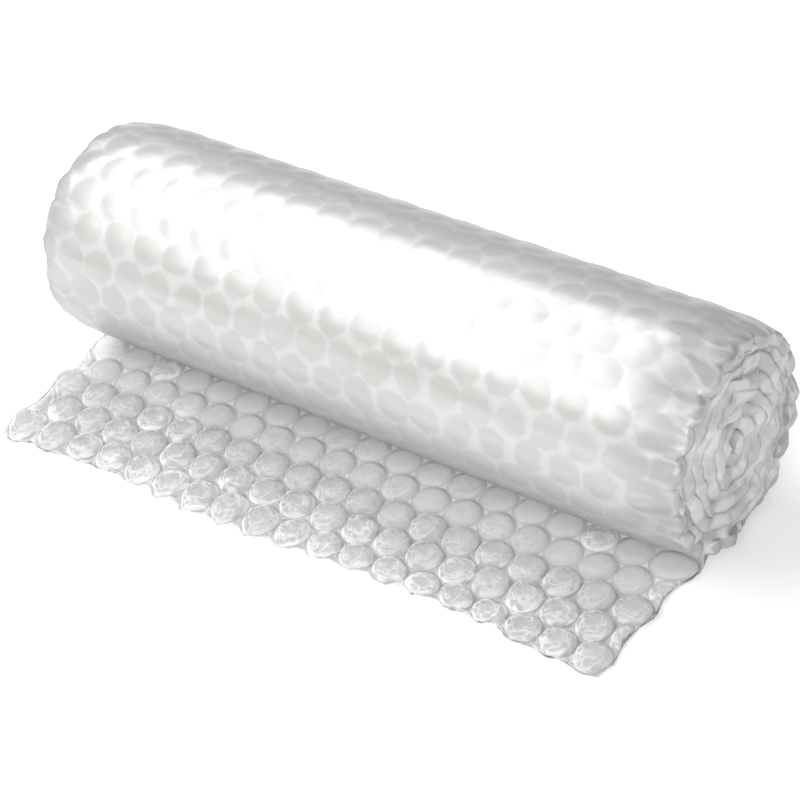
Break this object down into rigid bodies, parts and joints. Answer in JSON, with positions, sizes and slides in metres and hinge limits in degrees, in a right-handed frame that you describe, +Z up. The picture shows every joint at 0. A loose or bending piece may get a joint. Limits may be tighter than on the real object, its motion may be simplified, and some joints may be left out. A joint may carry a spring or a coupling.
{
  "type": "bubble wrap roll",
  "caption": "Soft roll of clear large-bubble cushioning film, lying on its side with its outer end let out flat in front.",
  "frame": {"origin": "on the ground, under the middle of the whole part with its loose end", "axes": "+X along the roll, -Y towards the cut edge of the loose end, +Z up from the ground"},
  "size_m": [0.506, 0.227, 0.163],
  "materials": {
    "bubble_film": "glossy, clear"
  },
  "bodies": {
    "root": {"bubble_wrap_roll": "bubble_film"}
  },
  "joints": []
}
